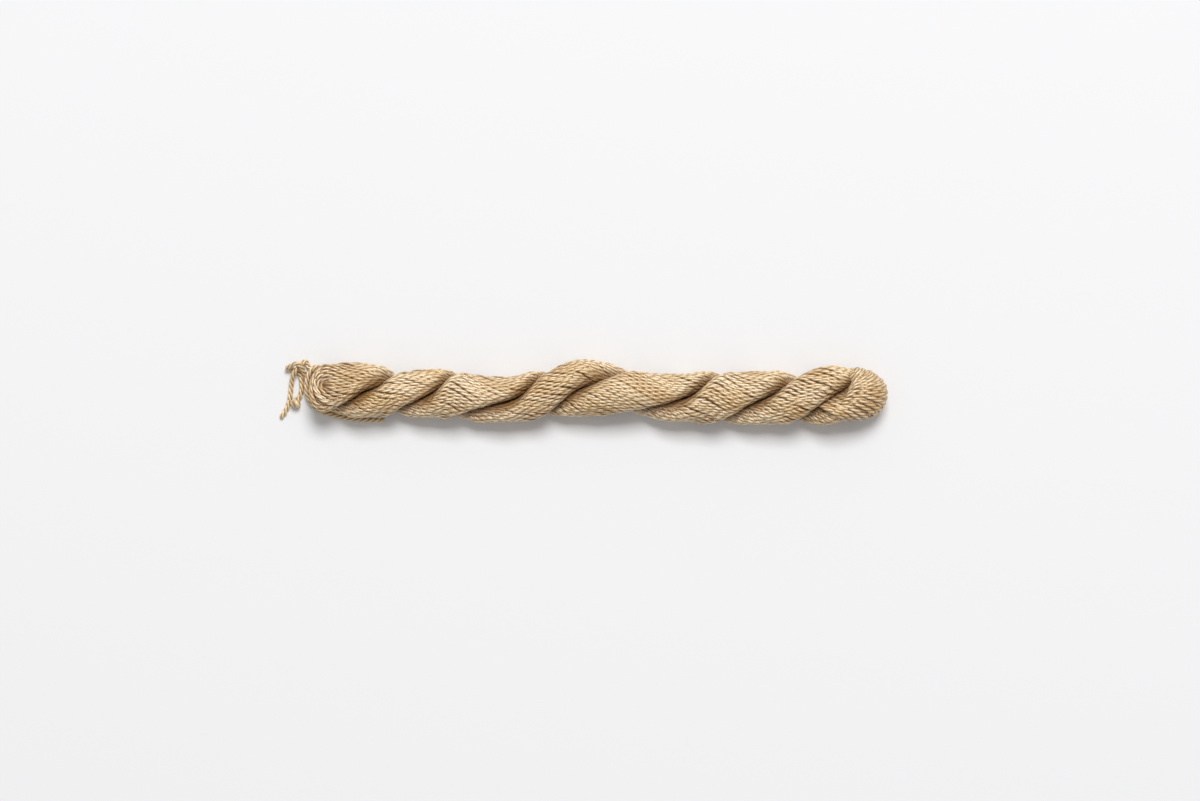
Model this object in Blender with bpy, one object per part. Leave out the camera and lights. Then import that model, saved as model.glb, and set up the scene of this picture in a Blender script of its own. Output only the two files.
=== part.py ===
"""A skein of silk embroidery thread: a long loop of thread, folded in two and twisted on itself.

The script builds three solids. The skein is one solid of the wound form and its two-ply twist. The tie
is the same thread, knotted at the skein's left end. The loose end is the end of the wound thread.
The frame is metres, +X along the skein to the right, +Y across it, +Z up. The skein lies on z = 0.
"""

import bpy
import numpy as np

# Driving sizes, in metres
MM = 0.001
THREAD_DIAMETER = 1.6 * MM
SKEIN_LENGTH = 201.2 * MM
AXIS_HEIGHT = 6.8 * MM
HEIGHT_SQUASH = 0.89
LEFT_CAP_LENGTH = 10.5 * MM
RIGHT_CAP_LENGTH = 13.0 * MM

# A ply's offset from the skein's axis, as a share of the half width with the plies side by side
PLY_OFFSET_SHARE = 0.43
# The groove fades out at both ends, where each ply turns back into the other
LEFT_GROOVE_FROM = -98.0 * MM
LEFT_GROOVE_FULL = -88.0 * MM
RIGHT_GROOVE_FULL = 83.0 * MM
RIGHT_GROOVE_TO = 94.0 * MM

# How finely the skein is cut into faces
POINTS_AROUND = 36
STATION_STEP = 2.1 * MM
CAP_STEPS = 6

# How finely the cords are cut into faces
TIE_STEP = 1.3 * MM
LOOSE_END_STEP = 2.4 * MM
CORD_BEVEL_RESOLUTION = 2

# Each row is a quarter turn of the twist. All lengths are in millimetres, and angles in degrees.
# x: distance along the skein from its middle
# groove: angle of the groove between the plies, 0 at -Y, 90 on top, 180 at +Y
# centre: how far the skein's axis bends towards +Y
# side_by_side: half width where the two plies lie side by side
# stacked: half width where one ply lies on the other
TWIST_COLUMNS = ("x", "groove", "centre", "side_by_side", "stacked")
TWIST = (
    (-101.0, -62, 2.0, 9.0, 9.6),
    (-92.6, 0, 0.8, 8.9, 9.4),
    (-81.8, 90, 0.6, 9.3, 7.8),
    (-71.3, 180, -0.4, 8.6, 6.4),
    (-58.3, 270, -0.6, 8.4, 6.8),
    (-49.9, 360, -1.0, 8.2, 7.3),
    (-29.3, 450, -2.3, 7.9, 7.1),
    (-18.4, 540, -0.5, 9.0, 7.1),
    (-5.9, 630, 1.4, 10.0, 6.9),
    (10.3, 720, 0.3, 9.2, 6.7),
    (30.2, 810, -2.0, 8.3, 7.3),
    (41.8, 900, -1.8, 8.9, 7.9),
    (58.1, 990, -1.8, 9.3, 7.6),
    (69.1, 1080, -1.8, 9.8, 7.5),
    (81.3, 1170, -1.1, 10.2, 8.2),
    (88.7, 1260, -0.8, 8.9, 9.6),
    (101.0, 1330, -0.6, 8.6, 9.4),
)

# Routes are chosen by hand, in millimetres: x, y and the height of the thread's middle
TIE_ROUTE = (
    (-111.6, -9.2, 0.85),
    (-110.0, -6.8, 0.85),
    (-108.9, -4.2, 0.85),
    (-108.3, -1.6, 0.85),
    (-108.0, 1.0, 0.85),
    (-107.7, 3.5, 1.4),
    (-107.2, 5.5, 2.4),
    (-106.3, 7.3, 3.1),
    (-105.2, 8.7, 3.0),
    (-104.1, 10.0, 2.4),
    (-102.9, 10.8, 1.6),
    (-101.8, 10.2, 0.95),
    (-101.2, 8.9, 0.85),
    (-99.9, 7.8, 0.85),
    (-98.9, 6.6, 0.85),
    (-98.3, 5.0, 0.85),
    (-98.9, 3.5, 0.85),
    (-100.4, 3.0, 0.85),
    (-102.0, 4.2, 0.9),
    (-103.0, 6.1, 1.9),
    (-103.7, 7.9, 3.5),
    (-104.6, 9.4, 4.8),
    (-105.9, 9.8, 4.9),
    (-107.2, 9.3, 3.8),
    (-108.4, 8.8, 2.9),
    (-109.3, 8.2, 1.9),
    (-108.5, 7.4, 1.0),
    (-107.0, 7.1, 0.85),
    (-105.3, 6.9, 0.85),
    (-104.6, 5.6, 0.85),
    (-104.3, 3.8, 0.85),
    (-104.2, 2.1, 0.85),
    (-104.4, 0.3, 0.85),
    (-104.9, -1.5, 0.85),
    (-105.9, -3.0, 0.95),
)
LOOSE_END_ROUTE = (
    (-97.6, 8.9, 3.1),
    (-100.1, 8.2, 3.4),
    (-101.7, 5.9, 3.5),
    (-102.1, 2.8, 3.5),
    (-101.9, -0.4, 3.1),
    (-100.9, -3.6, 2.3),
    (-99.3, -6.4, 1.5),
    (-97.2, -8.1, 1.1),
    (-94.7, -9.1, 0.9),
    (-90.9, -9.8, 0.85),
    (-86.7, -10.1, 0.85),
    (-82.5, -10.1, 0.85),
    (-78.6, -9.8, 0.85),
    (-75.4, -9.5, 0.85),
)

# Colours from the photograph, as linear RGB
SILK_COLOUR = (0.55, 0.39, 0.20, 1.0)
TIE_COLOUR = (0.58, 0.42, 0.22, 1.0)


def material(name, colour, roughness):
    """A plain Principled material."""
    made = bpy.data.materials.new(name)
    made.use_nodes = True
    shader = made.node_tree.nodes["Principled BSDF"]
    shader.inputs["Base Color"].default_value = colour
    shader.inputs["Roughness"].default_value = roughness
    shader.inputs["Metallic"].default_value = 0.0
    return made


def twist_at(x):
    """The twist table's other columns at distances x, each on a smooth curve through its rows.

    Between two rows a value follows the cubic whose slope at each row is that of the chord from the row
    before to the row after.
    """
    rows = np.array(TWIST)
    knots = rows[:, 0] * MM
    values = rows[:, 1:]
    slopes = np.gradient(values, knots, axis=0)
    i = np.clip(np.searchsorted(knots, x) - 1, 0, len(knots) - 2)
    span = knots[i + 1] - knots[i]
    t = ((x - knots[i]) / span)[:, None]
    start = (1 + 2 * t) * (1 - t) ** 2 * values[i] + t * (1 - t) ** 2 * slopes[i] * span[:, None]
    end = t**2 * (3 - 2 * t) * values[i + 1] + t**2 * (t - 1) * slopes[i + 1] * span[:, None]
    columns = dict(zip(TWIST_COLUMNS[1:], (start + end).T))
    columns["groove"] = np.radians(columns["groove"])
    for name in ("centre", "side_by_side", "stacked"):
        columns[name] = columns[name] * MM
    return columns


def smooth_step(x, low, high):
    """0 below low and 1 above high, with a cubic between that is level at both."""
    t = np.clip((x - low) / (high - low), 0.0, 1.0)
    return t * t * (3 - 2 * t)


def stations():
    """Distances along the skein at which its section is set, and each section's size against its full one.

    Over the caps the size follows a quarter ellipse, from nothing at the tip to one.
    """
    half = SKEIN_LENGTH / 2
    turn = np.linspace(0, np.pi / 2, CAP_STEPS + 1)[1:-1]
    left = -half + LEFT_CAP_LENGTH * (1 - np.cos(turn))
    right = half - RIGHT_CAP_LENGTH * (1 - np.cos(turn))
    body_from = -half + LEFT_CAP_LENGTH
    body_to = half - RIGHT_CAP_LENGTH
    body = np.linspace(body_from, body_to, round((body_to - body_from) / STATION_STEP) + 1)
    x = np.concatenate([left, body, right[::-1]])
    size = np.concatenate([np.sin(turn), np.ones(len(body)), np.sin(turn)[::-1]])
    return x, size


def skein_points(x, size):
    """Points of the skein's surface, one ring for each station.

    Each ply's section is an ellipse whose centre is off the axis, a quarter turn from the groove. The
    radius in a direction is where the ray from the axis leaves the further ellipse, which leaves a sharp
    groove where the two cross. What would sink below the surface it lies on is flattened against it.
    """
    twist = twist_at(x)
    around = np.arange(POINTS_AROUND) * 2 * np.pi / POINTS_AROUND
    starts = smooth_step(x, LEFT_GROOVE_FROM, LEFT_GROOVE_FULL)
    ends = 1 - smooth_step(x, RIGHT_GROOVE_FULL, RIGHT_GROOVE_TO)
    offset = (twist["side_by_side"] * PLY_OFFSET_SHARE * starts * ends)[:, None]
    deep = twist["side_by_side"][:, None] - offset
    wide = twist["stacked"][:, None]
    towards_ply = np.abs(np.sin(around))
    along_groove = np.cos(around)
    squares = towards_ply**2 / deep**2 + along_groove**2 / wide**2
    middle = offset * towards_ply / deep**2
    radius = (middle + np.sqrt(middle**2 - squares * (offset**2 / deep**2 - 1))) / squares
    radius = radius * size[:, None]
    angle = twist["groove"][:, None] + around
    y = twist["centre"][:, None] - radius * np.cos(angle)
    z = AXIS_HEIGHT + HEIGHT_SQUASH * radius * np.sin(angle)
    return np.stack([np.broadcast_to(x[:, None], y.shape), y, np.maximum(z, 0.0)], axis=2)


def lofted_mesh(name, rings, tips):
    """A closed mesh through rings of points, with a fan of triangles to the tip at each end."""
    count, around = rings.shape[:2]
    points = np.concatenate([rings.reshape(-1, 3), tips])
    first_tip = count * around
    last_tip = first_tip + 1
    last_ring = (count - 1) * around
    faces = []
    for ring in range(count - 1):
        here = ring * around
        for k in range(around):
            after = (k + 1) % around
            faces.append((here + k, here + around + k, here + around + after, here + after))
    for k in range(around):
        after = (k + 1) % around
        faces.append((first_tip, k, after))
        faces.append((last_tip, last_ring + after, last_ring + k))
    mesh = bpy.data.meshes.new(name)
    mesh.from_pydata(points.tolist(), [], faces)
    mesh.validate()
    mesh.shade_smooth()
    return mesh


def smooth_route(route, step):
    """Points about a step apart on a smooth curve through a route's own points."""
    points = np.array(route) * MM
    before = np.vstack([2 * points[0] - points[1], points[:-2]])
    after = np.vstack([points[2:], 2 * points[-1] - points[-2]])
    t = np.linspace(0, 1, 13)[:-1, None, None]
    a = points[:-1]
    b = points[1:]
    bend_a = (b - before) / 2
    bend_b = (after - a) / 2
    curve = (
        (1 + 2 * t) * (1 - t) ** 2 * a
        + t * (1 - t) ** 2 * bend_a
        + t**2 * (3 - 2 * t) * b
        + t**2 * (t - 1) * bend_b
    )
    fine = np.vstack([curve.transpose(1, 0, 2).reshape(-1, 3), points[-1:]])
    along = np.concatenate([[0], np.cumsum(np.linalg.norm(np.diff(fine, axis=0), axis=1))])
    at = np.linspace(0, along[-1], round(along[-1] / step) + 1)
    return np.stack([np.interp(at, along, fine[:, k]) for k in range(3)], axis=1)


def cord(name, route, step, collection, finish):
    """A round thread along a route, with closed ends."""
    points = smooth_route(route, step)
    curve = bpy.data.curves.new(name, "CURVE")
    curve.dimensions = "3D"
    curve.bevel_depth = THREAD_DIAMETER / 2
    curve.bevel_resolution = CORD_BEVEL_RESOLUTION
    curve.use_fill_caps = True
    spline = curve.splines.new("POLY")
    spline.points.add(len(points) - 1)
    for spot, place in zip(spline.points, points):
        spot.co = (*place, 1.0)
    curve.materials.append(finish)
    thread = bpy.data.objects.new(name, curve)
    collection.objects.link(thread)
    return thread


def skein(collection):
    """The wound form: two plies twisted round each other, joined by the fold at the right end."""
    x, size = stations()
    rings = skein_points(x, size)
    half = SKEIN_LENGTH / 2
    ends = twist_at(np.array([-half, half]))
    tips = np.array([(-half, ends["centre"][0], AXIS_HEIGHT), (half, ends["centre"][1], AXIS_HEIGHT)])
    mesh = lofted_mesh("skein", rings, tips)
    mesh.materials.append(material("silk", SILK_COLOUR, 0.45))
    made = bpy.data.objects.new("skein", mesh)
    collection.objects.link(made)
    return made


for old in list(bpy.data.objects):
    bpy.data.objects.remove(old, do_unlink=True)
hank = bpy.data.collections.new("thread_skein")
bpy.context.scene.collection.children.link(hank)
tie_finish = material("tie_silk", TIE_COLOUR, 0.45)
skein(hank)
cord("tie", TIE_ROUTE, TIE_STEP, hank, tie_finish)
cord("loose_end", LOOSE_END_ROUTE, LOOSE_END_STEP, hank, tie_finish)
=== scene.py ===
"""The looks of a skein of silk embroidery thread, lying on a pale surface and seen from straight above."""

import bpy
import numpy as np
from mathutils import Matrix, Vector


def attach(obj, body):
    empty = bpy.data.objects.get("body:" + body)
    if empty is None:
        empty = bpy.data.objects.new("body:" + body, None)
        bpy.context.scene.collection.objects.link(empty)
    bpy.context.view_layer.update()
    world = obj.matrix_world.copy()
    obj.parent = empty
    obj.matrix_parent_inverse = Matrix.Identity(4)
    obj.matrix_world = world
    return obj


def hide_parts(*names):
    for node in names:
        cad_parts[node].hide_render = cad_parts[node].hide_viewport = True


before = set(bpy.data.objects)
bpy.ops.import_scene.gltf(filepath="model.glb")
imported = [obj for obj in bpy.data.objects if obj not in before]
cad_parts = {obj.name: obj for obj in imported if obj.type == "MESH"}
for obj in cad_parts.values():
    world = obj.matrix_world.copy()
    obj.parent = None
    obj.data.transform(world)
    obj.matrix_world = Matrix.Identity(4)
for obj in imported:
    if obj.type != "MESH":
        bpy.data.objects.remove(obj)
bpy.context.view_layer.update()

# The surface, the light and the camera
# The surface is a large pale matt sheet. The light is a soft box beyond the skein's far side, so the
# shadow falls towards the viewer, and an even pale surround. The camera looks straight down.
MM = 0.001
FLOOR_HALF_SIDE = 1.5
FLOOR_HEIGHT = -0.05 * MM
FLOOR_COLOUR = (0.84, 0.84, 0.85, 1.0)
VIEW_WIDTH = 420 * MM
VIEW_CENTRE = (0.1 * MM, -3.0 * MM)
LENS = 100.0
SENSOR = 36.0
KEY_PLACE = (0.28, 1.75, 2.94)
KEY_SIZE = 1.4
KEY_POWER = 96.0
SURROUND_COLOUR = (1.0, 1.0, 1.0, 1.0)
SURROUND_STRENGTH = 0.415

floor_corners = np.array([(-1, -1), (1, -1), (1, 1), (-1, 1)]) * FLOOR_HALF_SIDE
floor_mesh = bpy.data.meshes.new("floor")
floor_mesh.from_pydata([(x, y, FLOOR_HEIGHT) for x, y in floor_corners], [], [(0, 1, 2, 3)])
floor = bpy.data.objects.new("floor", floor_mesh)
bpy.context.scene.collection.objects.link(floor)
floor_paint = bpy.data.materials.new("floor_paint")
floor_paint.use_nodes = True
floor_shader = floor_paint.node_tree.nodes["Principled BSDF"]
floor_shader.inputs["Base Color"].default_value = FLOOR_COLOUR
floor_shader.inputs["Roughness"].default_value = 0.9
floor_mesh.materials.append(floor_paint)

camera_data = bpy.data.cameras.new("camera")
camera_data.lens = LENS
camera_data.sensor_width = SENSOR
camera_data.clip_start = 0.01
camera = bpy.data.objects.new("camera", camera_data)
camera.location = (*VIEW_CENTRE, VIEW_WIDTH * LENS / SENSOR)
bpy.context.scene.collection.objects.link(camera)
bpy.context.scene.camera = camera

key_data = bpy.data.lights.new("key", "AREA")
key_data.shape = "SQUARE"
key_data.size = KEY_SIZE
key_data.energy = KEY_POWER
key = bpy.data.objects.new("key", key_data)
key.location = KEY_PLACE
key.rotation_mode = "QUATERNION"
key.rotation_quaternion = (-Vector(KEY_PLACE)).to_track_quat("-Z", "Y")
bpy.context.scene.collection.objects.link(key)

surround = bpy.data.worlds.new("surround")
surround.use_nodes = True
surround_light = surround.node_tree.nodes["Background"]
surround_light.inputs["Color"].default_value = SURROUND_COLOUR
surround_light.inputs["Strength"].default_value = SURROUND_STRENGTH
bpy.context.scene.world = surround
bpy.context.scene.view_settings.view_transform = "Standard"

# The wound thread of the skein
# One long silk thread of three plies, wound into a loop, folded in two at the right end and twisted on
# itself, so that two plies of strands lie round each other. At the left end each ply turns back round
# a small eye. The strands are laid the other way from the plies.

# The thread, and the step between the rings of its mesh
THREAD_RADIUS = 0.82 * MM
THREAD_PITCH = 8.2 * MM
THREAD_STEP = 0.7 * MM

# The skein's axis, and how far a ply's centre is from it as a share of the half width. The plies are
# pressed flat where they meet and where they lie on the surface, over these widths.
AXIS_HEIGHT = 6.8 * MM
HEIGHT_SQUASH = 0.89
PLY_OFFSET_SHARE = 0.455
PLIES_MEET_OVER = 0.8 * MM
RESTING_HEIGHT = THREAD_RADIUS
RESTS_OVER = 0.7 * MM

# The strands of one layer round a ply of this mean half depth and half width, and their lay in radians
# for each metre: at the left and the right, and less close to the left turn
STRANDS = 26
MEAN_PLY = (4.6, 6.6)
LAY = (0.125 / MM, 0.145 / MM)
LAY_AT_LEFT = 0.09 / MM
LAY_FULL_FROM = -84.0 * MM

# Where the turns begin, how far the right one reaches, its half depth, and how much further in its
# strands lie, eased over a length to either side. The points along each straight and along the turn.
LEFT_TURN_X = -93.0 * MM
RIGHT_TURN_X = 84.0 * MM
RIGHT_TURN_REACH = 9.4 * MM
RIGHT_TURN_DEEP = 6.1 * MM
TURN_INSET = 0.7 * MM
TURN_INSET_EASE = 4 * MM
STRAIGHT_POINTS = 900
TURN_POINTS = 121

# Ply B is narrower by this much at its left end, which ends here
UNDER_WIDENS_TO = -80.0 * MM
UNDER_NARROWER = 2.0 * MM

# Little light reaches the groove between the plies. Its shade ends over the first range as a distance
# from where they meet, and over the second along the skein.
GROOVE_SHADE = 0.26
GROOVE_WIDTH = (0.9 * MM, 5.0 * MM)
GROOVE_FADES = (84 * MM, 89 * MM)

# Wander of the strands, first singly and then together: round the ply as a share of their spacing, and
# in depth. Each is a sum of waves with lengths in this range, in millimetres.
WANDER_ROUND = (0.26, 0.16)
WANDER_DEEP = (0.19 * MM, 0.16 * MM)
SINGLE_WAVES = 8
SINGLE_WAVE_LENGTHS = (16, 70)
SINGLE_SEED = 31
SHARED_WAVES = 16
SHARED_WAVE_LENGTHS = (9, 40)
SHARED_WAVES_ROUND = 5
SHARED_SEEDS = (3, 5)

# Each row is a place along the twist, in millimetres and degrees
# x: distance along the skein from its middle
# groove: angle of the groove between the plies, 0 at -Y, 90 on top, 180 at +Y
# centre: how far the skein's axis bends towards +Y
# side_by_side: half width where the two plies lie side by side
# stacked: half width where one ply lies on the other
TWIST_COLUMNS = ("x", "groove", "centre", "side_by_side", "stacked")
TWIST = (
    (-101.0, 2, 0.3, 8.0, 8.0),
    (-97.0, 10, 0.3, 8.1, 8.1),
    (-93.5, 20, 0.4, 8.2, 8.2),
    (-90.0, 36, 0.4, 8.6, 8.4),
    (-81.8, 80, 0.6, 9.3, 8.0),
    (-76.7, 117, 0.2, 9.0, 7.0),
    (-71.3, 180, -0.4, 8.6, 6.4),
    (-58.3, 270, -0.6, 8.4, 6.8),
    (-49.9, 360, -1.0, 8.2, 7.3),
    (-40.0, 409, -2.5, 7.6, 6.7),
    (-29.3, 450, -2.4, 7.9, 7.1),
    (-18.4, 540, -0.5, 9.0, 7.1),
    (-5.9, 630, 1.4, 10.0, 6.9),
    (10.3, 720, 0.3, 9.2, 6.7),
    (19.7, 759, -1.5, 8.4, 6.3),
    (30.2, 810, -2.0, 8.3, 7.3),
    (41.8, 900, -1.8, 8.9, 7.9),
    (49.5, 942, -2.2, 8.9, 7.4),
    (58.1, 990, -1.9, 9.3, 7.6),
    (69.1, 1080, -2.1, 9.6, 7.4),
    (81.3, 1164, -1.1, 10.2, 8.2),
    (86.5, 1200, -0.9, 9.2, 8.8),
    (91.5, 1262, -0.9, 8.8, 9.0),
    (101.0, 1330, -0.8, 8.6, 8.8),
)


def twist_at(x):
    """The twist table's other columns at distances x, in metres and radians.

    Between two rows a value follows the cubic whose slope at each row is that of the chord from the row
    before to the row after.
    """
    rows = np.array(TWIST)
    knots = rows[:, 0] * MM
    values = rows[:, 1:]
    slopes = np.gradient(values, knots, axis=0)
    i = np.clip(np.searchsorted(knots, x) - 1, 0, len(knots) - 2)
    span = knots[i + 1] - knots[i]
    t = ((x - knots[i]) / span)[:, None]
    start = (1 + 2 * t) * (1 - t) ** 2 * values[i] + t * (1 - t) ** 2 * slopes[i] * span[:, None]
    end = t**2 * (3 - 2 * t) * values[i + 1] + t**2 * (t - 1) * slopes[i + 1] * span[:, None]
    columns = dict(zip(TWIST_COLUMNS[1:], (start + end).T))
    columns["groove"] = np.radians(columns["groove"])
    for name in ("centre", "side_by_side", "stacked"):
        columns[name] = columns[name] * MM
    return columns


def smooth_step(x, low, high):
    """0 below low and 1 above high, with a cubic between that is level at both."""
    t = np.clip((x - low) / (high - low), 0.0, 1.0)
    return t * t * (3 - 2 * t)


def smooth_most(a, b, blend):
    """The larger of a and b, rounded over the width blend where they are nearly equal."""
    return 0.5 * (a + b + np.sqrt((a - b) ** 2 + blend**2))


def ply_strands(drawn_in, shifted):
    """The middle lines of one layer of strands, and for each the ply's own middle line and its light.

    They run from ply A's left end round the right end to ply B's left end.

    The two plies are one bundle that turns back at the right end, on half an ellipse in the plane of the
    twist there. Across the bundle each strand sits on an ellipse, pressed flat where the plies meet. Its
    place round the ellipse falls back with the length, which is the lay of the strands. Ply B is narrower
    at its left end, which lies under ply A. A layer further in is drawn in by a length and shifted by a
    share of the spacing.
    """
    ahead = np.linspace(LEFT_TURN_X, RIGHT_TURN_X, STRAIGHT_POINTS)
    half_turn = np.linspace(0, np.pi, TURN_POINTS)[1:-1]
    x = np.concatenate([ahead, RIGHT_TURN_X + RIGHT_TURN_REACH * np.sin(half_turn), ahead[::-1]])
    turn = np.concatenate([np.zeros(len(ahead)), half_turn, np.full(len(ahead), np.pi)])
    twist = twist_at(x)
    offset = twist["side_by_side"] * PLY_OFFSET_SHARE
    angle = twist["groove"] + np.pi / 2
    out = offset * np.cos(turn)
    travelled = np.concatenate([[0], np.cumsum(np.hypot(np.diff(x), np.diff(out)))])
    # the lay, eased off towards both left ends, and set to end on a whole number of strands
    full = LAY[0] + (LAY[1] - LAY[0]) * smooth_step(x, LEFT_TURN_X, RIGHT_TURN_X)
    rate = LAY_AT_LEFT + (full - LAY_AT_LEFT) * smooth_step(x, LEFT_TURN_X, LAY_FULL_FROM)
    rate_laid = np.concatenate([[0], np.cumsum(0.5 * (rate[1:] + rate[:-1]) * np.diff(travelled))])
    turned = np.concatenate([[0], np.cumsum(np.abs(np.diff(twist["groove"])))])
    spacing = 2 * np.pi / STRANDS
    whole = np.round((rate_laid[-1] + turned[-1]) / spacing) * spacing
    laid = rate_laid * (whole - turned[-1]) / rate_laid[-1] + turned
    even = (np.arange(STRANDS)[:, None] + 0.5 + shifted) * spacing - laid[None, :]
    # strands wander a little, singly and together
    singly = wander_singly(travelled)
    together = wander_together(even, travelled, SHARED_SEEDS[0])
    even = even + WANDER_ROUND[0] * spacing * singly[0] + WANDER_ROUND[1] * spacing * together
    together = wander_together(even, travelled, SHARED_SEEDS[1])
    sunk = drawn_in + WANDER_DEEP[0] * singly[1] + WANDER_DEEP[1] * together
    # evenly spaced by length round an ellipse of the mean size, in steps of a degree
    around = np.linspace(0, 2 * np.pi, 361)
    length = np.hypot(MEAN_PLY[0] * np.sin(around), MEAN_PLY[1] * np.cos(around))
    length = np.concatenate([[0], np.cumsum(0.5 * (length[1:] + length[:-1]))])
    place = np.interp(np.mod(even, 2 * np.pi), length * 2 * np.pi / length[-1], around)
    straight_deep = twist["side_by_side"] - offset - THREAD_RADIUS
    deep = straight_deep + (RIGHT_TURN_DEEP - straight_deep) * np.sin(turn) ** 2
    under = (turn > np.pi / 2) * (1 - smooth_step(x, LEFT_TURN_X, UNDER_WIDENS_TO))
    wide = twist["stacked"] - THREAD_RADIUS - UNDER_NARROWER * under
    sunk = sunk + TURN_INSET * smooth_step(x, RIGHT_TURN_X - TURN_INSET_EASE, RIGHT_TURN_X + TURN_INSET_EASE)
    u = (deep - sunk) * np.cos(place)
    v = (wide - sunk) * np.sin(place)
    outwards = np.stack([offset * np.sin(turn), RIGHT_TURN_REACH * np.cos(turn)])
    outwards /= np.hypot(*outwards)
    along = x + u * outwards[0]
    across = out + u * outwards[1]
    side = np.where(turn < np.pi / 2, 1.0, -1.0)
    near = np.abs(np.cos(turn))
    across = side * smooth_most(side * across, THREAD_RADIUS * near, PLIES_MEET_OVER * near)
    y = twist["centre"] - across * np.cos(angle) + v * np.sin(angle)
    z = AXIS_HEIGHT + HEIGHT_SQUASH * (across * np.sin(angle) + v * np.cos(angle))
    z = smooth_most(z, RESTING_HEIGHT, RESTS_OVER)
    lines = np.stack([np.broadcast_to(along, y.shape), y, z], axis=2)
    axis_y = twist["centre"] - out * np.cos(angle)
    axis_z = AXIS_HEIGHT + HEIGHT_SQUASH * out * np.sin(angle)
    axes = np.broadcast_to(np.stack([x, axis_y, axis_z], axis=1), lines.shape)
    beside_groove = smooth_step(np.abs(across), *GROOVE_WIDTH)
    off_groove = np.maximum(beside_groove, smooth_step(along, *GROOVE_FADES))
    open_to_light = GROOVE_SHADE + (1 - GROOVE_SHADE) * off_groove
    return lines, np.concatenate([axes, open_to_light[..., None]], axis=2)


def wander_together(place, travelled, seed):
    """Smooth irregularity over the ply's surface, about -1 to 1, much the same for neighbours.

    A sum of waves that run along the ply and whole numbers of times round it.
    """
    random = np.random.default_rng(seed)
    total = np.zeros(place.shape)
    for _ in range(SHARED_WAVES):
        round_it = random.integers(0, SHARED_WAVES_ROUND)
        length = random.uniform(*SHARED_WAVE_LENGTHS) * MM
        start = random.uniform(0, 2 * np.pi)
        total += np.sin(round_it * place + 2 * np.pi * travelled / length + start)
    return total / np.sqrt(SHARED_WAVES)


def wander_singly(travelled):
    """Two sets of smooth irregularity, each its own for each strand: a sum of waves along it."""
    random = np.random.default_rng(SINGLE_SEED)
    total = np.zeros((2, STRANDS, len(travelled)))
    for _ in range(SINGLE_WAVES):
        length = random.uniform(*SINGLE_WAVE_LENGTHS, (2, STRANDS, 1)) * MM
        start = random.uniform(0, 2 * np.pi, (2, STRANDS, 1))
        total += np.sin(2 * np.pi * travelled / length + start)
    return total / np.sqrt(SINGLE_WAVES)


def even_paths(paths, step):
    """The paths and their further columns, at points about a step apart, the same number on each."""
    spans = np.linalg.norm(np.diff(paths[..., :3], axis=1), axis=2)
    lengths = np.concatenate([np.zeros((len(paths), 1)), np.cumsum(spans, axis=1)], axis=1)
    count = int(round(lengths[:, -1].mean() / step)) + 1
    made = []
    for path, along in zip(paths, lengths):
        at = np.linspace(0, along[-1], count)
        made.append(np.stack([np.interp(at, along, column) for column in path.T], axis=1))
    return np.array(made), lengths[:, -1]


# The frames begin square to this direction, along which no path starts
FIRST_UP = (0.13, 0.31, 0.94)


def carried_frames(paths):
    """Two directions across each path that don't spin about it, carried from point to point."""
    ahead = np.gradient(paths, axis=1)
    ahead /= np.linalg.norm(ahead, axis=2, keepdims=True)
    side = np.cross(ahead[:, 0], FIRST_UP)
    across = np.empty_like(paths)
    for i in range(paths.shape[1]):
        side = side - (side * ahead[:, i]).sum(1, keepdims=True) * ahead[:, i]
        side /= np.linalg.norm(side, axis=1, keepdims=True)
        across[:, i] = side
    return across, np.cross(ahead, across)


# The radius round a thread of three plies, as a share of the full one: for each ply its crown, shoulder
# and the groove to the next
PLY_PROFILE = np.array([1.0, 0.95, 0.83, 0.68, 0.83, 0.95] * 3)

# The share of this relief that a thread loses for each further width, and the least that it keeps
RELIEF_LOST = 0.6
LEAST_RELIEF = 0.45


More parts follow.
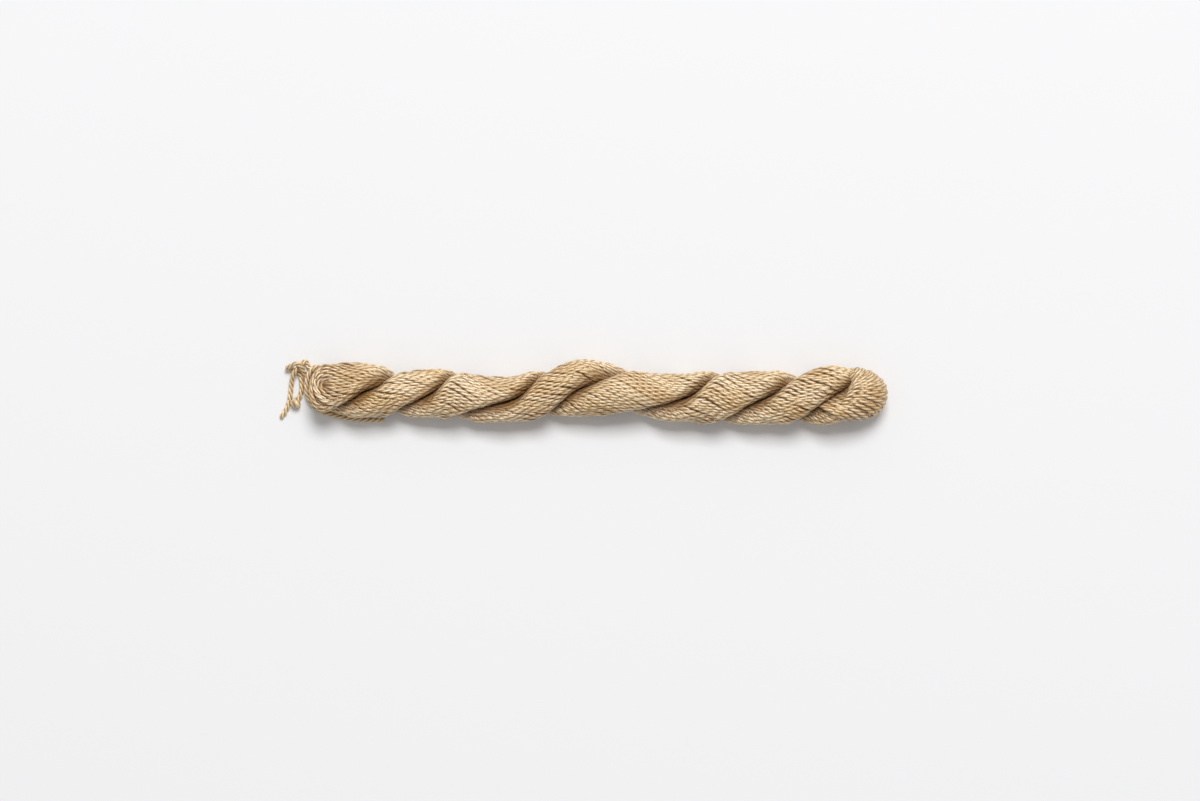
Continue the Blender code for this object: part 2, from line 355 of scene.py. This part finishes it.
def twisted_thread(name, paths, seed, axes=None, radius=THREAD_RADIUS, step=THREAD_STEP,
                   profile=PLY_PROFILE, pitch=THREAD_PITCH, ends=None):
    """A mesh of twisted three-ply threads along paths.

    Each ring is a three-lobed profile, turned by the travelled length over the pitch, and pressed flat
    where it meets the surface. axes are the middle lines of the bundle that the threads lie on, with how
    open to the light each place is. ends gives the share of the radius at each point, for a worn end,
    which is rounder where it is wider. The map holds the length along the thread and the way round it.
    The attributes hold each thread's tone, the height of its crowns, and how far each point faces out of
    the bundle times how open to the light it is.
    """
    random = np.random.default_rng(seed)
    in_bundle = axes is not None
    both, lengths = even_paths(np.concatenate([paths, axes], axis=2) if in_bundle else paths, step)
    paths = both[..., :3]
    many, count = paths.shape[:2]
    around = len(profile)
    across, up = carried_frames(paths)
    along = np.linspace(0, 1, count)[None, :] * lengths[:, None]
    start = random.uniform(0, 2 * np.pi, many)[:, None]
    turn = start - 2 * np.pi * along / pitch
    angle = turn[:, :, None] + np.arange(around) * 2 * np.pi / around
    share = np.ones((many, count, 1)) if ends is None else ends(along, lengths[:, None])[:, :, None]
    relief = np.clip(1 - RELIEF_LOST * (share - 1), LEAST_RELIEF, 1)
    size = radius * (1 - relief * (1 - profile)) * share
    spoke = size[..., None] * (
        np.cos(angle)[..., None] * across[:, :, None, :] + np.sin(angle)[..., None] * up[:, :, None, :]
    )
    points = paths[:, :, None, :] + spoke
    points[..., 2] = np.maximum(points[..., 2], 0.0)
    outer = np.ones((many, count, around))
    if in_bundle:
        out = paths - both[..., 3:6]
        out /= np.linalg.norm(out, axis=2, keepdims=True)
        outer = (spoke * out[:, :, None, :]).sum(3) / radius * both[..., 6:]
    # four-sided faces between neighbouring rings, and a cap on each end
    ring = (np.arange(many)[:, None] * count + np.arange(count)[None, :]) * around
    place = np.arange(around)
    after = (place + 1) % around
    here = ring[:, :-1, None]
    there = ring[:, 1:, None]
    quads = np.stack([here + place, here + after, there + after, there + place], axis=3).reshape(-1, 4)
    first_caps = (ring[:, :1] + place[::-1][None, :]).reshape(-1)
    last_caps = (ring[:, -1:] + place[None, :]).reshape(-1)
    corners = np.concatenate([quads.reshape(-1), first_caps, last_caps])
    starts = np.concatenate([np.arange(len(quads)) * 4, len(quads) * 4 + np.arange(2 * many) * around])
    mesh = bpy.data.meshes.new(name)
    mesh.vertices.add(many * count * around)
    mesh.vertices.foreach_set("co", points.reshape(-1).astype(np.float32))
    mesh.loops.add(len(corners))
    mesh.loops.foreach_set("vertex_index", corners.astype(np.int32))
    mesh.polygons.add(len(starts))
    mesh.polygons.foreach_set("loop_start", starts.astype(np.int32))
    mesh.update(calc_edges=True)
    # the map: diameters along the thread, and the way round it
    length_at = np.broadcast_to((along / (2 * radius))[:, :, None], (many, count, around))
    low = np.broadcast_to(place / around, (many, count - 1, around))
    quad_map = np.empty((many, count - 1, around, 4, 2))
    quad_map[..., 0, 0] = quad_map[..., 1, 0] = length_at[:, :-1]
    quad_map[..., 2, 0] = quad_map[..., 3, 0] = length_at[:, 1:]
    quad_map[..., 0, 1] = quad_map[..., 3, 1] = low
    quad_map[..., 1, 1] = quad_map[..., 2, 1] = low + 1 / around
    cap_map = np.zeros((len(first_caps) + len(last_caps), 2))
    whole_map = np.concatenate([quad_map.reshape(-1, 2), cap_map]).reshape(-1)
    layer = mesh.uv_layers.new(name="thread")
    layer.uv.foreach_set("vector", whole_map.astype(np.float32))
    tone = np.repeat(random.uniform(0, 1, many), count * around)
    crown = np.tile((profile - profile.min()) / np.ptp(profile), many * count)
    for title, values in (("tone", tone), ("crown", crown), ("outer", outer.reshape(-1))):
        attribute = mesh.attributes.new(title, "FLOAT", "POINT")
        attribute.data.foreach_set("value", values.astype(np.float32))
    mesh.shade_smooth()
    piece = bpy.data.objects.new(name, mesh)
    bpy.context.scene.collection.objects.link(piece)
    return piece


# How much a thread's own tone counts beside the soft patches
TONE_WEIGHT = 0.35


def silk_threads():
    """A node group with the look of twisted silk, from the thread's own map and attributes.

    The body is a mix from deep to pale, by each thread's tone and by soft patches. Over it lies painted
    shade: the groove colour in the grooves between a thread's plies, and the between colour where a
    thread turns away into the bundle or where little light reaches it. Fine fibres run along the thread
    and change its roughness and height.
    """
    group = bpy.data.node_groups.new("silk_threads", "ShaderNodeTree")
    for title in ("Pale", "Deep", "Groove", "Between"):
        group.interface.new_socket(title, in_out="INPUT", socket_type="NodeSocketColor")
    group.interface.new_socket("Color", in_out="OUTPUT", socket_type="NodeSocketColor")
    for title in ("Roughness", "Fibres"):
        group.interface.new_socket(title, in_out="OUTPUT", socket_type="NodeSocketFloat")
    nodes = group.nodes
    links = group.links
    given = nodes.new("NodeGroupInput")
    result = nodes.new("NodeGroupOutput")
    tone, crown, outer = (nodes.new("ShaderNodeAttribute") for _ in range(3))
    tone.attribute_name = "tone"
    crown.attribute_name = "crown"
    outer.attribute_name = "outer"
    place = nodes.new("ShaderNodeTexCoord")
    patches = nodes.new("ShaderNodeTexNoise")
    patches.inputs["Scale"].default_value = 55.0
    patches.inputs["Detail"].default_value = 2.0
    links.new(place.outputs["Object"], patches.inputs["Vector"])
    mixed = nodes.new("ShaderNodeMath")
    mixed.operation = "MULTIPLY_ADD"
    mixed.inputs[1].default_value = TONE_WEIGHT
    links.new(tone.outputs["Fac"], mixed.inputs[0])
    links.new(patches.outputs["Fac"], mixed.inputs[2])
    paleness = nodes.new("ShaderNodeMapRange")
    paleness.inputs["From Min"].default_value = 0.45
    paleness.inputs["From Max"].default_value = 0.85
    links.new(mixed.outputs["Value"], paleness.inputs["Value"])
    faces_out = nodes.new("ShaderNodeMapRange")
    faces_out.interpolation_type = "SMOOTHSTEP"
    faces_out.inputs["From Min"].default_value = -0.1
    faces_out.inputs["From Max"].default_value = 0.9
    links.new(outer.outputs["Fac"], faces_out.inputs["Value"])
    # each mix goes from its own colour to the one before it; the groove and between colours are painted
    # shade
    colour = given.outputs["Pale"]
    for start, share in (
        ("Deep", paleness.outputs["Result"]),
        ("Groove", crown.outputs["Fac"]),
        ("Between", faces_out.outputs["Result"]),
    ):
        mix = nodes.new("ShaderNodeMix")
        mix.data_type = "RGBA"
        links.new(share, mix.inputs["Factor"])
        links.new(given.outputs[start], mix.inputs["A"])
        links.new(colour, mix.inputs["B"])
        colour = mix.outputs["Result"]
    links.new(colour, result.inputs["Color"])
    # the pattern is long along the thread and fine round it
    unwrapped = nodes.new("ShaderNodeUVMap")
    unwrapped.uv_map = "thread"
    stretch = nodes.new("ShaderNodeMapping")
    stretch.inputs["Scale"].default_value = (1.1, 26.0, 1.0)
    links.new(unwrapped.outputs["UV"], stretch.inputs["Vector"])
    fibres = nodes.new("ShaderNodeTexNoise")
    fibres.inputs["Scale"].default_value = 1.0
    fibres.inputs["Detail"].default_value = 3.0
    links.new(stretch.outputs["Vector"], fibres.inputs["Vector"])
    links.new(fibres.outputs["Fac"], result.inputs["Fibres"])
    rough = nodes.new("ShaderNodeMapRange")
    rough.inputs["From Min"].default_value = 0.3
    rough.inputs["From Max"].default_value = 0.7
    rough.inputs["To Min"].default_value = 0.28
    rough.inputs["To Max"].default_value = 0.40
    links.new(fibres.outputs["Fac"], rough.inputs["Value"])
    links.new(rough.outputs["Result"], result.inputs["Roughness"])
    return group


silk_pattern = silk_threads()


def silk_material(name, pale, deep, groove, between):
    """Glossy silk in four colours, with the pattern of twisted threads."""
    made = bpy.data.materials.new(name)
    made.use_nodes = True
    nodes = made.node_tree.nodes
    links = made.node_tree.links
    shader = nodes["Principled BSDF"]
    pattern = nodes.new("ShaderNodeGroup")
    pattern.node_tree = silk_pattern
    for title, colour in (("Pale", pale), ("Deep", deep), ("Groove", groove), ("Between", between)):
        pattern.inputs[title].default_value = colour
    links.new(pattern.outputs["Color"], shader.inputs["Base Color"])
    links.new(pattern.outputs["Roughness"], shader.inputs["Roughness"])
    bump = nodes.new("ShaderNodeBump")
    bump.inputs["Strength"].default_value = 0.15
    bump.inputs["Distance"].default_value = 0.06 * MM
    links.new(pattern.outputs["Fibres"], bump.inputs["Height"])
    links.new(bump.outputs["Normal"], shader.inputs["Normal"])
    shader.inputs["IOR"].default_value = 1.9
    shader.inputs["Specular Tint"].default_value = (0.98, 0.94, 0.84, 1.0)
    shader.inputs["Sheen Weight"].default_value = 0.05
    shader.inputs["Sheen Roughness"].default_value = 0.4
    return made


SILK_PALE = (0.92, 0.75, 0.495, 1.0)
SILK_DEEP = (0.74, 0.515, 0.25, 1.0)
# Painted shade: the colour in the grooves between a thread's plies, and a darker one where a thread turns
# into the bundle or little light reaches it
SILK_GROOVE_SHADE = (0.31, 0.138, 0.024, 1.0)
SILK_BETWEEN_SHADE = (0.17, 0.063, 0.006, 1.0)
silk = silk_material("silk", SILK_PALE, SILK_DEEP, SILK_GROOVE_SHADE, SILK_BETWEEN_SHADE)

# At the skein's left end every strand turns back round a small eye. A strand on the +Y side of the ply is
# one with the strand as far round on its -Y side, where both are counted from a tilted line.
EYE_TILT = np.radians(34)

# How far each ply's turn goes beyond the strands' ends, more where these are further apart, and how far
# it leans towards +Y. The middle of a cubic curve lies at three quarters of its handles' length.
REACH_A = 2.05 * MM
REACH_B = 2.6 * MM
REACH_FOR_GAP = 0.44
HANDLE_SHARE = 0.75
LEAN_A = 0.0
LEAN_B = 3.6 * MM

# The steps over which a strand's direction at its end is taken, and the points of its turn
DIRECTION_STEPS = 3
TURN_BACK_POINTS = 60

# The eye's radius, how far the turn is drawn towards the other ply, and its shade: a share everywhere and
# a further one on the +Y side. Each fades with the gap between a strand's two ends, over these lengths.
EYE_RADIUS = 1.3 * MM
EYE_RADIUS_FADES = 3.5 * MM
EYE_DEPTH = 2.2 * MM
EYE_DEPTH_FADES = 3.0 * MM
EYE_SHADE = (0.45, 0.5)
EYE_SHADE_FADES = 7 * MM
EYE_SHADE_SIDE = (-0.5 * MM, 2.0 * MM)


def turned_back(lines, axes, beneath, reach, lean):
    """The strands of one ply, joined in pairs by a turn round the eye, and their axes likewise.

    Between a pair's two ends runs a cubic curve. Its handles go on along the strands' own directions, moved
    apart in Y to leave the eye open, and both towards +Y by the lean. Nearest the eye the curve is drawn
    towards the other ply and lies in shade, more so on the eye's +Y side. beneath is 1 where the other ply
    is below this one and -1 where it is above.
    """
    ends = lines[:, 0]
    ahead = lines[:, DIRECTION_STEPS] - ends
    ahead /= np.linalg.norm(ahead, axis=1, keepdims=True)
    middle = ends[:, 1:].mean(0)
    round_it = np.arctan2(ends[:, 1] - middle[0], (ends[:, 2] - middle[1]) * beneath) + EYE_TILT
    order = np.argsort(np.mod(round_it + np.pi, 2 * np.pi))
    half = len(order) // 2
    first = order[::-1][:half]
    second = order[:half]
    gap = np.abs(ends[first, 1] - ends[second, 1])[:, None]
    handle = (reach + REACH_FOR_GAP * gap) / HANDLE_SHARE
    leave_a = ends[first] - handle * ahead[first]
    leave_b = ends[second] - handle * ahead[second]
    apart = EYE_RADIUS * np.exp(-gap[:, 0] / EYE_RADIUS_FADES)
    leave_a[:, 1] += apart + lean
    leave_b[:, 1] += lean - apart
    t = np.linspace(0, 1, TURN_BACK_POINTS)[None, 1:-1, None]
    turn = (
        (1 - t) ** 3 * ends[first][:, None]
        + 3 * (1 - t) ** 2 * t * leave_a[:, None]
        + 3 * (1 - t) * t**2 * leave_b[:, None]
        + t**3 * ends[second][:, None]
    )
    deeper = EYE_DEPTH * np.exp(-gap / EYE_DEPTH_FADES) * beneath
    turn[..., 2] -= deeper * np.sin(np.pi * t[..., 0]) ** 2
    turn_axis = np.broadcast_to(turn.mean(0), turn.shape)
    shaded_side = smooth_step(turn[..., 1] - middle[0], *EYE_SHADE_SIDE)
    shade = (EYE_SHADE[0] + EYE_SHADE[1] * shaded_side) * np.exp(-gap / EYE_SHADE_FADES)
    turn_axis = np.concatenate([turn_axis, (1 - shade)[..., None]], axis=2)
    whole = np.concatenate([lines[first, ::-1], turn, lines[second]], axis=1)
    return whole, np.concatenate([axes[first, ::-1], turn_axis, axes[second]], axis=1)


def hank(drawn_in, shifted):
    """One layer of strands as two sets, ply A's and ply B's, that meet in the middle of the right end."""
    lines, axes = ply_strands(drawn_in, shifted)
    middle = lines.shape[1] // 2
    ply_a = turned_back(lines[:, : middle + 1], axes[:, : middle + 1], 1, REACH_A, LEAN_A)
    ply_b = turned_back(lines[:, : middle - 1 : -1], axes[:, : middle - 1 : -1], -1, REACH_B, LEAN_B)
    return ply_a, ply_b


# Each ply's strands are two pieces, each with a seed of its own for the turns and tones of its threads
OUTER_SEED = 20
for ply, (lines, axes) in zip("ab", hank(0.0, 0.0)):
    for number, rows in enumerate(np.array_split(np.arange(len(lines)), 2)):
        piece = twisted_thread(f"strands_{ply}{number + 1}", lines[rows], OUTER_SEED + number, axes[rows])
        piece.data.materials.append(silk)
        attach(piece, "root")
        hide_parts("skein")

# The next layer of strands
# The same wound thread one layer further in, where each strand lies between two of the outer ones. It
# shows only in the gaps between those, so its profile and the steps of its mesh are coarser.
SECOND_LAYER_INSET = 1.1 * MM
SECOND_LAYER_SHIFT = 0.5
SECOND_LAYER_STEP = 1.0 * MM
SECOND_LAYER_SEED = 30
PLAIN_PROFILE = np.array([1.0, 0.85] * 3)

for ply, (lines, axes) in zip("ab", hank(SECOND_LAYER_INSET, SECOND_LAYER_SHIFT)):
    piece = twisted_thread(f"second_layer_{ply}", lines, SECOND_LAYER_SEED, axes,
                           step=SECOND_LAYER_STEP, profile=PLAIN_PROFILE)
    piece.data.materials.append(silk)
    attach(piece, "root")
    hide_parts("skein")

# The fold at the right end
# Where the bundle of silk threads folds over at the right end, its outer strands fan out from the inner
# crease, over the rim and back underneath. Between each two of them lies a strand of the next layer.

# Each row is one strand's place at the crease and at the rim, in millimetres, how far it bows to its left
# on the way, and its angle at the crease in degrees
FAN = (
    (87.2, 6.0, 89.9, 7.9, 0.1, 128),
    (87.1, 5.0, 91.7, 7.5, 0.2, 130),
    (87.4, 4.1, 93.8, 6.7, 0.3, 133),
    (87.7, 3.3, 96.0, 5.5, 0.4, 137),
    (87.9, 2.6, 98.0, 3.9, 0.5, 142),
    (87.8, 2.1, 99.2, 2.0, 0.5, 147),
    (87.3, 1.6, 99.6, -0.1, 0.5, 150),
    (86.5, 1.0, 99.5, -2.1, 0.4, 150),
    (85.4, 0.3, 98.9, -4.0, 0.3, 150),
    (83.9, -0.6, 97.4, -6.2, 0.2, 150),
    (82.3, -1.2, 95.7, -7.6, 0.1, 150),
    (80.4, -2.2, 92.9, -8.8, 0.0, 150),
    (78.7, -2.9, 90.6, -9.4, 0.0, 150),
    (77.0, -3.8, 87.9, -9.6, 0.0, 150),
    (76.2, -4.6, 85.7, -9.7, 0.0, 150),
)

# The ellipses over the fold: half the height above and below the middle, and the half width over which
# the upper half rounds off
FAN_MIDDLE_HEIGHT = 6.9 * MM
FAN_HALF_HEIGHT = 7.0 * MM
FAN_LOWER_HALF = 6.0 * MM
FAN_HALF_WIDTH = 8.6 * MM
FAN_LAST_ANGLE = -112
FAN_POINTS = 90

# The next layer: how far in and how shaded it is, first and last over this range of -Y at the rim, and
# how much lower it lies at the crease
FAN_SECOND_LAYER = (0.3 * MM, 0.6 * MM)
FAN_SECOND_SHADE = (0.1, 0.55)
FAN_SECOND_RANGE = (1.0 * MM, 6.0 * MM)
FAN_SECOND_DIPS = 0.6 * MM

# How much lighter the crease gets over this range of Y, the share of the way out from it where full light
# begins, and the seed for the turns and tones of the threads
CREASE_LIGHTER = 0.6
CREASE_RANGE = (0.5 * MM, 3.0 * MM)
FULL_LIGHT_FROM = 0.25
FAN_SEED = 50


def fan_strands():
    """Strands over the fold: in its own upright plane each follows an ellipse, at angle b from the rim.

    The height is the middle height + half height sin b, flatter underneath and towards the +Y side, where
    the half height goes with the root of 1 - (y / half width)^2. The way out from the crease goes with
    (cos b0 - cos b) / (cos b0 - 1), where b0 is the angle at the crease. Between each two rows lies a
    strand of the next layer, further in and more shaded towards the -Y side.
    """
    rows = np.array(FAN)
    rows[:, :5] *= MM
    between = (rows[1:] + rows[:-1]) / 2
    rows = np.concatenate([rows, between])
    second = np.repeat([0.0, 1.0], [len(FAN), len(FAN) - 1])[:, None]
    lower = smooth_step(-rows[:, 3:4], *FAN_SECOND_RANGE)
    inset = second * (FAN_SECOND_LAYER[0] + np.ptp(FAN_SECOND_LAYER) * lower)
    second_light = 1 - second * (FAN_SECOND_SHADE[0] + np.ptp(FAN_SECOND_SHADE) * lower)
    b = np.radians(np.linspace(rows[:, 5], FAN_LAST_ANGLE, FAN_POINTS, axis=1))
    out = ((np.cos(b[:, :1]) - np.cos(b)) / (np.cos(b[:, :1]) - 1))[..., None]
    start = rows[:, None, 0:2]
    way = rows[:, None, 2:4] - start
    left = np.stack([-way[..., 1], way[..., 0]], axis=2)
    left /= np.linalg.norm(left, axis=2, keepdims=True)
    shorter = 1 - inset[..., None] / np.linalg.norm(way, axis=2, keepdims=True)
    plan = start + out * way * shorter + rows[:, None, 4:5] * np.sin(np.pi * out) * left
    middle_y = np.maximum(rows[:, 1:2] + rows[:, 3:4], 0) / 2
    upper_half = FAN_HALF_HEIGHT * np.sqrt(1 - (middle_y / FAN_HALF_WIDTH) ** 2)
    half_height = np.where(b > 0, upper_half, FAN_LOWER_HALF) - inset
    half_height = half_height - second * FAN_SECOND_DIPS * (1 - out[..., 0])
    height = FAN_MIDDLE_HEIGHT + half_height * np.sin(b)
    lines = np.concatenate([plan, height[..., None]], axis=2)
    axes = np.concatenate([start + way / 2, np.full((len(rows), 1, 1), FAN_MIDDLE_HEIGHT)], axis=2)
    axes = np.broadcast_to(axes, lines.shape)
    lighter = CREASE_LIGHTER * smooth_step(rows[:, 1], *CREASE_RANGE)
    crease_light = (GROOVE_SHADE + lighter)[:, None, None]
    open_to_light = crease_light + (1 - crease_light) * smooth_step(out, 0.0, FULL_LIGHT_FROM)
    open_to_light = open_to_light * second_light[..., None]
    return lines, np.concatenate([axes, open_to_light], axis=2)


fan_lines, fan_axes = fan_strands()
piece = twisted_thread("fold_strands", fan_lines, FAN_SEED, fan_axes)
piece.data.materials.append(silk)
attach(piece, "root")
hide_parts("skein")

# The shade inside the skein
# The strands that lie deeper than the next layer aren't made one by one: a closed body of the same form,
# a little smaller and painted dark as their shade, stands for them and shows only in the gaps between
# strands.
INSET = 2.2 * MM
INSIDE_ENDS = (-94.5 * MM, 96.0 * MM)
INSIDE_SHADE_COLOUR = (0.10, 0.058, 0.022, 1.0)
INSIDE_RINGS = 240
INSIDE_SIDES = 48

# Over this length the ends round off, down to a small flat cap, and the body stays above this height
END_LENGTH = 7 * MM
CAP_SHARE = 0.02
LEAST_HEIGHT = 0.4 * MM


def inside_points(stations, around):
    """The skein's own section, drawn in by the inset: the further of two ellipses, one for each ply.

    At angle a from the groove a point of the further ellipse is at the radius that solves
    (r s - offset)^2 / deep^2 + (r c)^2 / wide^2 = 1 for s = |sin a|, c = cos a. Towards both ends the
    section shrinks as on an ellipse.
    """
    twist = twist_at(stations)
    offset = (twist["side_by_side"] * PLY_OFFSET_SHARE)[:, None]
    deep = twist["side_by_side"][:, None] - offset - INSET
    wide = twist["stacked"][:, None] - INSET
    s = np.abs(np.sin(around))[None, :]
    c = np.cos(around)[None, :]
    squares = s**2 / deep**2 + c**2 / wide**2
    middle = offset * s / deep**2
    inside_root = np.maximum(middle**2 - squares * (offset**2 / deep**2 - 1), 0)
    r = (middle + np.sqrt(inside_root)) / squares
    near_end = np.minimum(stations - INSIDE_ENDS[0], INSIDE_ENDS[1] - stations) / END_LENGTH
    r *= np.sqrt(1 - (1 - np.clip(near_end, CAP_SHARE, 1)) ** 2)[:, None]
    angle = twist["groove"][:, None] + around[None, :]
    y = twist["centre"][:, None] - r * np.cos(angle)
    z = np.maximum(AXIS_HEIGHT + HEIGHT_SQUASH * r * np.sin(angle), LEAST_HEIGHT)
    return np.stack([np.broadcast_to(stations[:, None], y.shape), y, z], axis=2)


stations = np.linspace(*INSIDE_ENDS, INSIDE_RINGS)
around = np.linspace(0, 2 * np.pi, INSIDE_SIDES, endpoint=False)
rings = inside_points(stations, around)
ring_start = np.arange(INSIDE_RINGS - 1)[:, None] * INSIDE_SIDES
side = np.arange(INSIDE_SIDES)
here = ring_start + side
after = ring_start + (side + 1) % INSIDE_SIDES
walls = np.stack([here, here + INSIDE_SIDES, after + INSIDE_SIDES, after], axis=2).reshape(-1, 4)
left_cap = tuple(side.tolist())
right_cap = tuple(((INSIDE_RINGS - 1) * INSIDE_SIDES + side[::-1]).tolist())
inside_mesh = bpy.data.meshes.new("inside")
inside_mesh.from_pydata(rings.reshape(-1, 3), [], [*map(tuple, walls), left_cap, right_cap])
inside = bpy.data.objects.new("inside", inside_mesh)
bpy.context.scene.collection.objects.link(inside)
inside_paint = bpy.data.materials.new("inside")
inside_paint.use_nodes = True
inside_shader = inside_paint.node_tree.nodes["Principled BSDF"]
inside_shader.inputs["Base Color"].default_value = INSIDE_SHADE_COLOUR
inside_shader.inputs["Roughness"].default_value = 0.8
inside_mesh.materials.append(inside_paint)
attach(inside, "root")
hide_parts("skein")

# The tie and the loose end
# The same silk thread. The tie is knotted at the skein's left end and has two free ends. The loose end
# is the end of the wound thread: it runs round the skein's left end and along its lower edge.

# The routes' points and the place where the tie goes under the skein's end, in millimetres
TIE_ROUTE = (
    (-111.6, -9.2, 0.85),
    (-110.0, -6.8, 0.85),
    (-108.9, -4.2, 0.85),
    (-108.3, -1.6, 0.85),
    (-108.0, 1.0, 0.85),
    (-107.7, 3.5, 1.4),
    (-107.2, 5.5, 2.4),
    (-106.3, 7.3, 3.1),
    (-105.2, 8.7, 3.0),
    (-104.1, 10.0, 2.4),
    (-103.0, 10.6, 1.6),
    (-102.2, 9.9, 1.0),
    (-101.8, 8.6, 0.85),
    (-100.3, 7.6, 0.85),
    (-98.9, 6.6, 0.85),
    (-98.3, 5.0, 0.85),
    (-98.9, 3.5, 0.85),
    (-100.4, 3.0, 0.85),
    (-102.0, 4.2, 0.9),
    (-103.0, 6.1, 1.9),
    (-103.7, 7.9, 3.5),
    (-104.6, 9.4, 4.8),
    (-105.9, 9.8, 4.9),
    (-107.2, 9.3, 3.8),
    (-108.4, 8.8, 2.9),
    (-109.3, 8.4, 1.9),
    (-108.5, 7.9, 1.0),
    (-107.0, 7.7, 0.85),
    (-105.5, 7.1, 0.85),
    (-104.6, 5.6, 0.85),
    (-104.3, 3.8, 0.85),
    (-104.2, 2.1, 0.85),
    (-104.4, 0.3, 0.85),
    (-104.9, -1.5, 0.85),
    (-106.0, -3.2, 1.4),
    (-106.3, -4.4, 2.05),
    (-106.7, -5.6, 2.0),
)
LOOSE_END_ROUTE = (
    (-97.6, 8.9, 3.1),
    (-100.1, 8.2, 3.4),
    (-101.7, 5.9, 3.5),
    (-102.3, 2.8, 3.4),
    (-102.2, -0.2, 3.0),
    (-101.2, -3.1, 2.4),
    (-99.6, -5.3, 1.7),
    (-97.3, -6.8, 1.2),
    (-94.5, -7.7, 0.9),
    (-90.9, -8.6, 0.85),
    (-86.9, -9.4, 0.85),
    (-82.4, -9.8, 0.85),
    (-78.6, -9.85, 0.85),
    (-75.4, -9.7, 0.85),
)
TIE_LEAVES = (-98.3, 5.0, 0.85)

# The parts of the curve between two points of a route
ROUTE_PARTS = 12

# The thread's thickness, the radius out to the crowns of its plies, and the step between its rings. Where
# it isn't wound it is twisted more closely than in the skein, and its grooves are deeper.
CORD_DIAMETER = 1.6 * MM
CORD_RADIUS = 0.9 * MM
CORD_STEP = 0.3 * MM
CORD_SEED = 60
LOOSE_PITCH = 6.4 * MM
LOOSE_PROFILE = np.array([1.0, 0.93, 0.76, 0.56, 0.76, 0.93] * 3)

# A cut end is wider by a share that fades over a length, and its last tip is a smaller share of the radius
FRAYED_WIDER = 0.22
FRAYED_FADES = 1.2 * MM
CUT_TIP = 0.35

# The tuft is wider by a share that fades over a range of the length from its tip, and closes at the tip
TUFT_WIDER = 1.15
TUFT_FADES = (1.2 * MM, 4.4 * MM)
TUFT_TIP = 0.3
TUFT_TIP_LENGTH = 1.2 * MM


def smooth_route(route, step):
    """Points about a step apart on a smooth curve through a route's own points."""
    points = np.array(route) * MM
    before = np.vstack([2 * points[0] - points[1], points[:-2]])
    after = np.vstack([points[2:], 2 * points[-1] - points[-2]])
    t = np.linspace(0, 1, ROUTE_PARTS + 1)[:-1, None, None]
    a = points[:-1]
    b = points[1:]
    bend_a = (b - before) / 2
    bend_b = (after - a) / 2
    curve = (
        (1 + 2 * t) * (1 - t) ** 2 * a
        + t * (1 - t) ** 2 * bend_a
        + t**2 * (3 - 2 * t) * b
        + t**2 * (t - 1) * bend_b
    )
    fine = np.vstack([curve.transpose(1, 0, 2).reshape(-1, 3), points[-1:]])
    along = np.concatenate([[0], np.cumsum(np.linalg.norm(np.diff(fine, axis=0), axis=1))])
    at = np.linspace(0, along[-1], round(along[-1] / step) + 1)
    return np.stack([np.interp(at, along, column) for column in fine.T], axis=1)


def cut_ends(along, length):
    """The share of the radius along a cord: both ends a little frayed, and drawn in over half a diameter."""
    near = np.minimum(along, length - along)
    frayed = 1 + FRAYED_WIDER * np.exp(-near / FRAYED_FADES)
    return frayed * (CUT_TIP + (1 - CUT_TIP) * smooth_step(near, 0.0, 0.5 * CORD_DIAMETER))


def tie_ends(along, length):
    """The same for the tie, but not frayed, and its last end has opened into a soft tuft."""
    near = length - along
    tuft = 1 + TUFT_WIDER * (1 - smooth_step(near, *TUFT_FADES))
    closed = TUFT_TIP + (1 - TUFT_TIP) * smooth_step(near, 0.0, TUFT_TIP_LENGTH)
    return tuft * closed * np.minimum(cut_ends(along, length), 1.0)


# A paler copy of the silk for the tie and the loose end: painted light, as they lie out in full light
TIE_LIT_PALE = (1.0, 0.82, 0.54, 1.0)
TIE_LIT_DEEP = (0.82, 0.61, 0.34, 1.0)
# Painted shade in the grooves between the plies, also given as the between colour
TIE_GROOVE_SHADE = (0.26, 0.125, 0.035, 1.0)
tie_silk = silk_material("tie_silk", TIE_LIT_PALE, TIE_LIT_DEEP, TIE_GROOVE_SHADE, TIE_GROOVE_SHADE)
for name, route, leaves, ends in (
    ("tie", TIE_ROUTE, TIE_LEAVES, tie_ends),
    ("loose_end", LOOSE_END_ROUTE, LOOSE_END_ROUTE[0], cut_ends),
):
    line = smooth_route(route, CORD_STEP)
    piece = twisted_thread(f"{name}_thread", line[None], CORD_SEED, radius=CORD_RADIUS, step=CORD_STEP,
                           profile=LOOSE_PROFILE, pitch=LOOSE_PITCH, ends=ends)
    piece.data.materials.append(tie_silk)
    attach(piece, "root")
    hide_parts(name)
